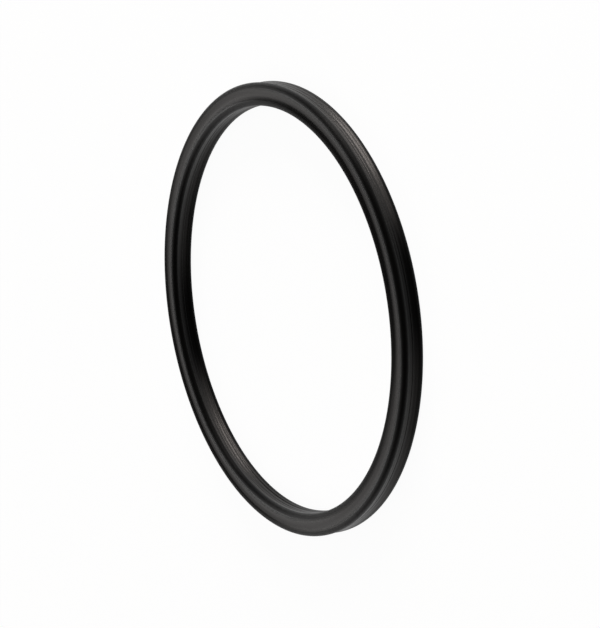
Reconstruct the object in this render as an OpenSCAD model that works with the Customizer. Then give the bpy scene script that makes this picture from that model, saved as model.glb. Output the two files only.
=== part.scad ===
// Four-lobed seal ring, moulded in one piece of rubber.
// Its section is a square with a round lobe at each corner and a shallow hollow
// between each two lobes. The ring is that section turned about +Z.
// It lies flat, on the crests of its two lower lobes.
// Origin: on the ring's axis, level with the surface that it lies on.

/* [Ring] */
// Diameter across the crests of the two lobes that face the bore
inner_d = 94.62; // [60:0.01:250]
// Width and height of the section, from lobe crest to lobe crest
section_w = 5.33; // [4.5:0.01:7.5]

/* [Lobes and hollows] */
// Radius of the round crest of each lobe
lobe_r = 0.88; // [0.6:0.01:1.1]
// Depth of the hollow between two lobes, measured from their crests
hollow_depth = 0.43; // [0.2:0.01:0.7]

/* [Parting line] */
// Radius of the fine ridge left where the mould halves met, in the bore and outer hollows
ridge_r = 0.12; // [0.1:0.01:0.2]
// Height of that ridge above the floor of its hollow
ridge_h = 0.05; // [0.03:0.01:0.1]

/* [Hidden] */

// Facets in a full turn of the ring, of a lobe, of a hollow's arc and of the ridge
ring_steps = 80;
lobe_steps = 20;
hollow_steps = 26;
ridge_steps = 14;

// Circle on which the middle of the section runs
section_mid_r = (inner_d + section_w) / 2;
// Lobe centres lie this far from the middle of the section, both ways
lobe_offset = section_w / 2 - lobe_r;
// Radius of the hollow's arc, which touches both lobes without a corner
hollow_r = (pow(lobe_offset, 2) + pow(hollow_depth, 2)) / (2 * hollow_depth) - lobe_r;
// From the middle of the section to the hollow's floor, and to the centre of its arc
hollow_floor = section_w / 2 - hollow_depth;
hollow_centre = hollow_floor + hollow_r;
// The ridge's centre, sunk so that only its height stands out of the hollow
ridge_centre = hollow_floor + ridge_h - ridge_r;

// The material between two lobe centres, cut back by the hollow's arc
module hollow_side() {
    difference() {
        polygon([
            [-lobe_offset, lobe_offset],
            [lobe_offset, lobe_offset],
            [0, hollow_centre]
        ]);
        translate([0, hollow_centre])
            circle(hollow_r, $fn = hollow_steps);
    }
}

// One round lobe at its corner of the section
module lobe() {
    translate([lobe_offset, lobe_offset])
        circle(lobe_r, $fn = lobe_steps);
}

// The fine ridge along the middle of a hollow
module parting_ridge() {
    translate([ridge_centre, 0])
        circle(ridge_r, $fn = ridge_steps);
}

// The whole X section about its own middle: four equal sides, with the parting
// ridge only on the side that faces the bore and on the one that faces outwards
module x_section() {
    square(2 * lobe_offset, center = true);
    for (side = [0 : 3]) {
        rotate(90 * side) {
            hollow_side();
            lobe();
        }
    }
    for (turn = [0, 180]) {
        rotate(turn)
            parting_ridge();
    }
}

// The seal ring: the X section carried round the axis
module x_ring() {
    color([0.07, 0.07, 0.075])
        rotate_extrude($fn = ring_steps)
            translate([section_mid_r, section_w / 2])
                x_section();
}

x_ring();
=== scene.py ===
import math

import bpy
import numpy as np
from mathutils import Matrix, Vector


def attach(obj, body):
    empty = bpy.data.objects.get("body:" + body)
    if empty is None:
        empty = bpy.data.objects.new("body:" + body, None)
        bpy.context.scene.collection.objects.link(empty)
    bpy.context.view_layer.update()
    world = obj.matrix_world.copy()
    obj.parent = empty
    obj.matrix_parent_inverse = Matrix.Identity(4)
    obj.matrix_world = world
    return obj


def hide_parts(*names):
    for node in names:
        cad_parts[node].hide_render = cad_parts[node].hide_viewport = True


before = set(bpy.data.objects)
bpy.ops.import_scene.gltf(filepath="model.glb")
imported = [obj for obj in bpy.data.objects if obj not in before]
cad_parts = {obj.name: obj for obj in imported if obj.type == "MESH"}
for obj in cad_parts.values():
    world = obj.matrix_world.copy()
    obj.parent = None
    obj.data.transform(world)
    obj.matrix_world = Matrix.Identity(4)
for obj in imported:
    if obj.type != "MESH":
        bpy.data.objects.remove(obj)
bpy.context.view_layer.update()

MM = 0.001

# The ring's sizes, in millimetres: the same as in the part's source
INNER_D = 94.62
SECTION_W = 5.33
LOBE_R = 0.88
HOLLOW_DEPTH = 0.43
RIDGE_R = 0.12
RIDGE_H = 0.05

# How finely the surface is laid out: round the ring, and along each arc of the section
STEPS_ROUND = 480
STEPS_LOBE = 18
STEPS_HOLLOW = 12
STEPS_RIDGE = 5

# The map that the seal's own surface carries
RING_MAP = "round_and_across"

# The rubber: how deep the turned lines are, the feed lines round a quarter of the section,
# the share of its full gloss that the walls and the faces have, and how dull the lobes, the
# walls, their stretches with deeper lines and a painted sheen, and the faces are
LINE_DEPTH_MM = 0.09
FEED_LINES = 6.5
WALL_GLOSS = 0.42
FACE_GLOSS = 0.55
LOBE_DULL = 0.46
WALL_DULL = 0.3
PATCH_DULL = 0.36
FACE_DULL = 0.22

# The floor, in metres: half its width, the radius up to which it is level, and how far it rises
FLOOR_HALF = 3.2
FLOOR_LEVEL_TO = 2.0
FLOOR_RISE = 0.6
FLOOR_STEPS = 80

# The floor's white: its level, and its share against the matt paint that takes the shadow
WHITE_LEVEL = 1.02
WHITE_SHARE = 0.93
WORLD_LEVEL = 0.04

# The camera: the ring lies flat, and the photograph shows it from above, turned on its side
CAMERA_ELEVATION = 30.42
CAMERA_ROLL = -99.65
CAMERA_DISTANCE_MM = 487.0
CAMERA_LENS = 120.9
CAMERA_AIM_MM = (-1.57, -1.93, 2.665 - 3.22)

# The softboxes, all at the same distance: name, azimuth from +X, elevation, width and height
# in degrees, level, warmth
LAMP_DISTANCE = 1.0
SOFTBOXES = [
    ("key", -15, 17, 30, 14, 14.0, 1.0),
    ("key_far", -45, 17, 30, 14, 5.0, 1.0),
    ("key_low", -15, 5, 40, 9, 16.0, 1.0),
    ("low_right", 35, 5, 60, 9, 1.5, 0.4),
    ("low_left", 178, 5, 44, 9, 1.5, 1.0),
    ("back", 97, 34, 40, 34, 1.15, 0.4),
    ("back_left", 129, 34, 24, 34, 0.8, 0.4),
    ("back_right", 69, 26, 16, 18, 0.85, 0.4),
    ("soft_top", 140, 60, 60, 18, 1.1, 0.4),
    ("front", -90, 62, 70, 30, 1.0, 0.4),
]


def arc(centre, radius, start, end, steps):
    """Points of an arc: the centre plus the radius times (cos, sin) of evenly spaced
    angles in degrees, from start up to but not including end."""
    angle = np.radians(np.linspace(start, end, steps, endpoint=False))
    return np.stack([centre[0] + radius * np.cos(angle), centre[1] + radius * np.sin(angle)], axis=1)


def turned(points, quarter):
    """The points turned about the middle of the section by a number of quarter turns."""
    c, s = [(1, 0), (0, 1), (-1, 0), (0, -1)][quarter % 4]
    return points @ np.array([[c, s], [-s, c]])


def section_outline():
    """The X section about its own middle, in millimetres, anticlockwise.
    A lobe's centre lies at (o, o), with o = half the width less the lobe's radius. The hollow's
    arc touches both lobes: its radius is (o*o + d*d) / (2*d) less the lobe's radius, with d
    the hollow's depth. Each side is half a hollow, the ridge if it has one, half a hollow and
    a lobe."""
    lobe_at = SECTION_W / 2 - LOBE_R
    hollow_r = (lobe_at**2 + HOLLOW_DEPTH**2) / (2 * HOLLOW_DEPTH) - LOBE_R
    floor = SECTION_W / 2 - HOLLOW_DEPTH
    centre = floor + hollow_r
    swing = math.degrees(math.atan2(lobe_at, centre - lobe_at))
    ridge_at = floor + RIDGE_H - RIDGE_R
    # where the ridge leaves the hollow's arc: two circles that cross
    gap = centre - ridge_at
    x = (gap**2 + hollow_r**2 - RIDGE_R**2) / (2 * gap)
    y = math.sqrt(hollow_r**2 - x**2)
    in_hollow = math.degrees(math.atan2(y, x))
    on_ridge = math.degrees(math.atan2(y, gap - x))
    points = []
    for quarter in range(4):
        has_ridge = quarter % 2 == 0
        middle = in_hollow if has_ridge else 0.0
        side = [arc((centre, 0), hollow_r, 180 + swing, 180 + middle, STEPS_HOLLOW)]
        if has_ridge:
            side.append(arc((ridge_at, 0), RIDGE_R, -on_ridge, on_ridge, STEPS_RIDGE))
        side.append(arc((centre, 0), hollow_r, 180 - middle, 180 - swing, STEPS_HOLLOW))
        side.append(arc((lobe_at, lobe_at), LOBE_R, -swing, 90 + swing, STEPS_LOBE))
        points.append(turned(np.vstack(side), quarter))
    return np.vstack(points)


def grid_faces(rows, columns):
    """Quads of a grid that closes on itself both ways, like the skin of a torus."""
    i, j = np.meshgrid(np.arange(rows), np.arange(columns), indexing="ij")
    next_i = (i + 1) % rows
    next_j = (j + 1) % columns
    corners = [i * columns + j, next_i * columns + j, next_i * columns + next_j, i * columns + next_j]
    return np.stack(corners, axis=-1).reshape(-1, 4)


def seal_mesh():
    """The ring's surface: the section's outline carried round the axis. A point of the outline
    at (x, y) from the middle of the section goes to the radius middle + x and the height
    half the width + y, at each angle round the ring.
    Its map has u once round the ring, and v four times round the section: 0 in the middle of
    the outside, 1 on top, 2 in the bore and 3 underneath."""
    outline = section_outline()
    columns = len(outline)
    angle = np.linspace(0, 2 * np.pi, STEPS_ROUND, endpoint=False)
    radius = (INNER_D + SECTION_W) / 2 + outline[:, 0]
    spots = np.empty((STEPS_ROUND, columns, 3))
    spots[..., 0] = np.cos(angle)[:, None] * radius
    spots[..., 1] = np.sin(angle)[:, None] * radius
    spots[..., 2] = SECTION_W / 2 + outline[:, 1]
    mesh = bpy.data.meshes.new("x_ring_skin")
    mesh.from_pydata((spots.reshape(-1, 3) * MM).tolist(), [], grid_faces(STEPS_ROUND, columns).tolist())
    mesh.shade_smooth()
    step = np.linalg.norm(np.roll(outline, -1, axis=0) - outline, axis=1)
    along = np.concatenate([[0], np.cumsum(step)])
    outside_middle = along[STEPS_HOLLOW + STEPS_RIDGE // 2]
    across = 4 * (along - outside_middle) / along[-1]
    i, j = np.meshgrid(np.arange(STEPS_ROUND), np.arange(columns), indexing="ij")
    u = np.stack([i, i + 1, i + 1, i], axis=-1).reshape(-1) / STEPS_ROUND
    v = across[np.stack([j, j, j + 1, j + 1], axis=-1).reshape(-1)]
    mapped = mesh.uv_layers.new(name=RING_MAP)
    mapped.data.foreach_set("uv", np.stack([u, v], axis=1).astype(np.float32).ravel())
    mesh.update()
    return mesh


def number(tree, operation, *values):
    """A Math node's output. Each value is a number, or an output that is linked to the node."""
    node = tree.nodes.new("ShaderNodeMath")
    node.operation = operation
    for socket, value in zip(node.inputs, values):
        if isinstance(value, bpy.types.NodeSocket):
            tree.links.new(value, socket)
        else:
            socket.default_value = value
    return node.outputs[0]


def between(tree, low, high, share):
    """The value that lies between low and high by a share from 0 to 1:
    share times (high - low), plus low."""
    return number(tree, "MULTIPLY_ADD", share, number(tree, "SUBTRACT", high, low), low)


def rise(tree, value, start, end):
    """0 up to the start and 1 from the end on, with a smooth step between them."""
    node = tree.nodes.new("ShaderNodeMapRange")
    node.interpolation_type = "SMOOTHSTEP"
    node.inputs["From Min"].default_value = start
    node.inputs["From Max"].default_value = end
    tree.links.new(value, node.inputs["Value"])
    return node.outputs[0]


def blend(tree, first, second, share):
    """A colour between two, by a share from 0 to 1."""
    node = tree.nodes.new("ShaderNodeMix")
    node.data_type = "RGBA"
    node.inputs["A"].default_value = (*first, 1)
    node.inputs["B"].default_value = (*second, 1)
    tree.links.new(share, node.inputs["Factor"])
    return node.outputs["Result"]


def noise(tree, place, scale, detail):
    """A Noise Texture's value, with a middle of 0.5."""
    node = tree.nodes.new("ShaderNodeTexNoise")
    node.inputs["Scale"].default_value = scale
    node.inputs["Detail"].default_value = detail
    tree.links.new(place, node.inputs["Vector"])
    return node.outputs[0]


def turned_lines(tree, x, y, v, reach_mm, count):
    """Lines round the ring, as a cutter leaves them in a turned mould: noise at the place
    (x over the reach, y over the reach, v times the count), so that there are about count of
    them on each side of the section, and each fades and returns over the reach."""
    where = tree.nodes.new("ShaderNodeCombineXYZ")
    tree.links.new(number(tree, "DIVIDE", x, reach_mm * MM), where.inputs["X"])
    tree.links.new(number(tree, "DIVIDE", y, reach_mm * MM), where.inputs["Y"])
    tree.links.new(number(tree, "MULTIPLY", v, count), where.inputs["Z"])
    return noise(tree, where.outputs[0], 1.0, 0.0)


def seal_rubber():
    """Black rubber as it leaves the mould. The top and the underside are smooth, with a soft
    gloss, and the lobes are dull. The bore and the outside carry the fine lines of the turned
    mould, which run round the ring. Two stretches of the ring, where x times y is well below
    zero, have them deeper and carry a painted sheen as more gloss. Where the walls face along
    Y, a painted shade takes their gloss down to next to nothing."""
    material = bpy.data.materials.new("moulded_black_rubber")
    material.use_nodes = True
    tree = material.node_tree
    shader = tree.nodes["Principled BSDF"]
    shader.inputs["Specular IOR Level"].default_value = 0.35
    shader.inputs["Anisotropic"].default_value = 0.8
    shader.inputs["Anisotropic Rotation"].default_value = 0.25
    tangent = tree.nodes.new("ShaderNodeTangent")
    tangent.direction_type = "UV_MAP"
    tangent.uv_map = RING_MAP
    tree.links.new(tangent.outputs[0], shader.inputs["Tangent"])
    coordinates = tree.nodes.new("ShaderNodeTexCoord")
    place = tree.nodes.new("ShaderNodeSeparateXYZ")
    tree.links.new(coordinates.outputs["Object"], place.inputs[0])
    x, y = place.outputs["X"], place.outputs["Y"]
    ring_map = tree.nodes.new("ShaderNodeUVMap")
    ring_map.uv_map = RING_MAP
    mapped = tree.nodes.new("ShaderNodeSeparateXYZ")
    tree.links.new(ring_map.outputs[0], mapped.inputs[0])
    v = mapped.outputs["Y"]
    # 0 is the middle of the bore or the outside, 1 the middle of the top or the underside,
    # and a lobe lies between 0.28 and 0.72
    turn = number(tree, "PINGPONG", v, 1.0)
    side = rise(tree, turn, 0.66, 0.76)
    wall = rise(tree, turn, 0.36, 0.26)
    # two stretches where x times y is well below zero: deeper lines, other roughness, and a painted
    # sheen as a stronger specular tint
    deep_lines_and_painted_sheen = rise(tree, number(tree, "MULTIPLY", x, y), -0.0001, -0.0009)
    # painted shade: the walls' specular tint falls to next to nothing where they face along Y
    painted_shade_along_y = rise(tree, number(tree, "ABSOLUTE", x), 0.004, 0.026)
    # the cutter's feed: sin(2 pi times the feed lines times v, plus a wandering phase), strong
    # and faint by turns
    coarse = turned_lines(tree, x, y, v, 30, 3)
    fine = turned_lines(tree, x, y, v, 60, 9)
    wander = number(tree, "MULTIPLY", noise(tree, coordinates.outputs["Object"], 20, 0), 5.0)
    feed = number(tree, "SINE", number(tree, "MULTIPLY_ADD", v, 2 * math.pi * FEED_LINES, wander))
    lines = number(tree, "MULTIPLY_ADD", fine, 0.8, number(tree, "MULTIPLY", feed, coarse))
    depth = number(tree, "MULTIPLY", between(tree, 0.1, 1.0, wall), between(tree, 0.25, 1.0, deep_lines_and_painted_sheen))
    grain = noise(tree, coordinates.outputs["Object"], 6000, 2)
    height = number(tree, "MULTIPLY_ADD", grain, 0.004, number(tree, "MULTIPLY", lines, depth))
    bump = tree.nodes.new("ShaderNodeBump")
    bump.inputs["Strength"].default_value = 1.0
    bump.inputs["Distance"].default_value = LINE_DEPTH_MM * MM
    tree.links.new(height, bump.inputs["Height"])
    tree.links.new(bump.outputs[0], shader.inputs["Normal"])
    wall_dull = between(tree, WALL_DULL, PATCH_DULL, deep_lines_and_painted_sheen)
    dull = between(tree, between(tree, LOBE_DULL, wall_dull, wall), FACE_DULL, side)
    tree.links.new(number(tree, "MULTIPLY_ADD", grain, 0.04, dull), shader.inputs["Roughness"])
    # the walls' own gloss, raised by the painted sheen of the two stretches and cut by the painted shade
    # along Y
    wall_gloss_with_painted_light = number(tree, "MULTIPLY", between(tree, WALL_GLOSS, 1.0, deep_lines_and_painted_sheen), painted_shade_along_y)
    wall_gloss_with_painted_light = number(tree, "MULTIPLY", wall, wall_gloss_with_painted_light)
    gloss = number(tree, "MAXIMUM", number(tree, "MULTIPLY", side, FACE_GLOSS), wall_gloss_with_painted_light)
    # specular tint: the faces' and walls' own gloss, with the painted sheen and painted shade in it
    tint = blend(tree, (0.02, 0.02, 0.02), (1.0, 0.95, 0.92), gloss)
    tree.links.new(tint, shader.inputs["Specular Tint"])
    shade = blend(tree, (0.001, 0.001, 0.001), (0.002, 0.0019, 0.0018), coarse)
    tree.links.new(shade, shader.inputs["Base Color"])
    return material


def floor_material():
    """White seen directly and in the gloss of the object, and matt, so that it keeps a pale
    shadow, for all other light."""
    material = bpy.data.materials.new("pale_floor")
    material.use_nodes = True
    tree = material.node_tree
    tree.nodes.clear()
    output = tree.nodes.new("ShaderNodeOutputMaterial")
    matt = tree.nodes.new("ShaderNodeBsdfDiffuse")
    matt.inputs["Color"].default_value = (0.9, 0.9, 0.9, 1)
    white = tree.nodes.new("ShaderNodeEmission")
    white.inputs["Strength"].default_value = WHITE_LEVEL
    path = tree.nodes.new("ShaderNodeLightPath")
    seen = number(tree, "MAXIMUM", path.outputs["Is Camera Ray"], path.outputs["Is Glossy Ray"])
    seen = number(tree, "MAXIMUM", seen, path.outputs["Is Transmission Ray"])
    mix = tree.nodes.new("ShaderNodeMixShader")
    tree.links.new(number(tree, "MULTIPLY", seen, WHITE_SHARE), mix.inputs[0])
    tree.links.new(matt.outputs[0], mix.inputs[1])
    tree.links.new(white.outputs[0], mix.inputs[2])
    tree.links.new(mix.outputs[0], output.inputs["Surface"])
    return material


def add_floor():
    """A sheet that is level round the object and rises at its edge, so that low views have it
    behind the object too. With r the distance from the axis and s how far r is past the level
    part, held between 0 and 1 m, its height is the rise times s squared."""
    steps = FLOOR_STEPS
    across = np.linspace(-FLOOR_HALF, FLOOR_HALF, steps + 1)
    x, y = np.meshgrid(across, across, indexing="ij")
    beyond = np.clip(np.hypot(x, y) - FLOOR_LEVEL_TO, 0.0, 1.0)
    spots = np.stack([x, y, FLOOR_RISE * beyond**2], axis=-1).reshape(-1, 3)
    i, j = np.meshgrid(np.arange(steps), np.arange(steps), indexing="ij")
    first = i * (steps + 1) + j
    corners = np.stack([first, first + steps + 1, first + steps + 2, first + 1], axis=-1).reshape(-1, 4)
    mesh = bpy.data.meshes.new("floor")
    mesh.from_pydata(spots.tolist(), [], corners.tolist())
    mesh.shade_smooth()
    floor = bpy.data.objects.new("floor", mesh)
    bpy.context.scene.collection.objects.link(floor)
    floor.data.materials.append(floor_material())


def add_softbox(name, azimuth, elevation, across, tall, level, warmth):
    """A rectangular lamp seen from the ring at an azimuth from +X and an elevation, spanning
    across by tall degrees, with a level at which 1 is white. Its warmth takes 5% of it away
    from the green and 8% from the blue."""
    lamp = bpy.data.lights.new(name, "AREA")
    lamp.shape = "RECTANGLE"
    lamp.color = (1.0, 1.0 - 0.05 * warmth, 1.0 - 0.08 * warmth)
    lamp.size = 2 * LAMP_DISTANCE * math.tan(math.radians(across / 2))
    lamp.size_y = 2 * LAMP_DISTANCE * math.tan(math.radians(tall / 2))
    lamp.energy = level * math.pi * lamp.size * lamp.size_y
    holder = bpy.data.objects.new(name, lamp)
    bpy.context.scene.collection.objects.link(holder)
    a, e = math.radians(azimuth), math.radians(elevation)
    away = Vector((math.cos(a) * math.cos(e), math.sin(a) * math.cos(e), math.sin(e)))
    holder.location = away * LAMP_DISTANCE
    holder.rotation_euler = away.to_track_quat("Z", "Y").to_euler()
    holder.visible_camera = False


def add_world():
    world = bpy.data.worlds.new("studio")
    bpy.context.scene.world = world
    world.use_nodes = True
    background = world.node_tree.nodes["Background"]
    background.inputs["Color"].default_value = (1, 1, 1, 1)
    background.inputs["Strength"].default_value = WORLD_LEVEL


def add_camera():
    lens = bpy.data.cameras.new("camera")
    camera = bpy.data.objects.new("camera", lens)
    bpy.context.scene.collection.objects.link(camera)
    lens.lens = CAMERA_LENS
    lens.sensor_width = 36.0
    lens.sensor_fit = "AUTO"
    lens.clip_start = 0.01
    lens.clip_end = 20
    e = math.radians(CAMERA_ELEVATION)
    roll = math.radians(CAMERA_ROLL)
    middle = Vector((0, 0, SECTION_W / 2 * MM))
    place = middle + Vector((0, -math.cos(e), math.sin(e))) * CAMERA_DISTANCE_MM * MM
    back = (place - Vector(CAMERA_AIM_MM) * MM).normalized()
    level = Vector((0, 0, 1)).cross(back).normalized()
    above = back.cross(level)
    right = level * math.cos(roll) + above * math.sin(roll)
    up = above * math.cos(roll) - level * math.sin(roll)
    camera.matrix_world = Matrix.Translation(place) @ Matrix((right, up, back)).transposed().to_4x4()
    bpy.context.scene.camera = camera


add_camera()
seal = bpy.data.objects.new("seal_ring", seal_mesh())
bpy.context.scene.collection.objects.link(seal)
seal.data.materials.append(seal_rubber())
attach(seal, "root")
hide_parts("x_ring")
add_floor()
for softbox in SOFTBOXES:
    add_softbox(*softbox)
add_world()
bpy.context.scene.view_settings.view_transform = "Standard"
